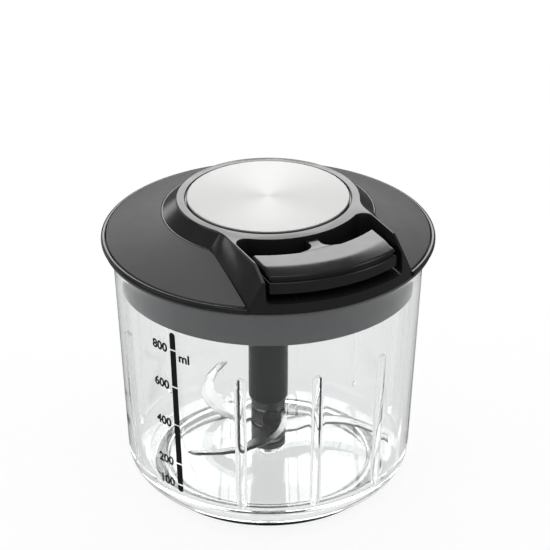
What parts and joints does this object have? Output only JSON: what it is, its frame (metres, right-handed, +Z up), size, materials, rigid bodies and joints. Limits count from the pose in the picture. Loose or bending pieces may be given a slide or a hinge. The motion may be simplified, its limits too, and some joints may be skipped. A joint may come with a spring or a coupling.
{
  "type": "manual food chopper",
  "caption": "Pull-cord food chopper: a clear ribbed bowl with a blade unit on a pin, and a domed lid with a sprung cord reel and a curved pull handle.",
  "frame": {"origin": "on the bowl's axis, in the plane of the table that the non-slip ring stands on", "axes": "+Z up along the bowl's axis; the handle is pulled towards -Y; +X to the right when the handle faces the viewer"},
  "size_m": [0.1386, 0.1378, 0.1299],
  "materials": {
    "clear_plastic": "clear gloss",
    "black_rubber": "matt",
    "seal_rubber": "matt",
    "black_plastic": "satin",
    "matt_plastic": "fine matt texture",
    "grey_plastic": "satin",
    "white_plastic": "satin",
    "steel": "polished",
    "brushed_steel": "brushed",
    "cord": "braided"
  },
  "bodies": {
    "bowl": {"bowl": "clear_plastic", "base_ring": "black_rubber", "pivot_pin": "steel"},
    "blades": {"blade_carrier": "black_plastic", "blade_column": "black_plastic", "blade_lower": "steel", "blade_middle": "steel", "blade_upper": "steel"},
    "lid": {"lid_base": "grey_plastic", "rim_seal": "seal_rubber", "lid_cover": "black_plastic", "brim_plate": "matt_plastic", "steel_disc": "brushed_steel", "cord_guide": "white_plastic", "lid_screw_1": "steel", "lid_screw_2": "steel", "lid_screw_3": "steel", "lid_screw_4": "steel", "pull_cord": "cord"},
    "reel": {"drum": "white_plastic", "drum_cap": "white_plastic", "drive_socket": "white_plastic", "mainspring": "steel"},
    "handle": {"handle_top": "black_plastic", "handle_bottom": "black_plastic", "handle_screw_left": "steel", "handle_screw_right": "steel", "cord_knot": "cord"}
  },
  "joints": [
    {"name": "lid_lift", "type": "slide", "parent": "bowl", "child": "lid", "axis": [0, 0, 1], "range_m": [0, 0.12]},
    {"name": "handle_pull", "type": "slide", "parent": "lid", "child": "handle", "axis": [0, -1, 0], "range_m": [0, 0.35], "stiffness_N_per_m": 25, "springref_m": -0.06},
    {"name": "reel_spin", "type": "hinge", "parent": "lid", "child": "reel", "pos_m": [0, 0, 0.117], "axis": [0, 0, 1], "range_deg": [0, 800]},
    {"name": "blade_spin", "type": "hinge", "parent": "bowl", "child": "blades", "pos_m": [0, 0, 0.05], "axis": [0, 0, 1], "range_deg": [0, 800]}
  ],
  "couplings": [
    {"joint": "reel_spin", "follows": "handle_pull", "rad_per_m": 39.526},
    {"joint": "blade_spin", "follows": "handle_pull", "rad_per_m": 39.526}
  ]
}
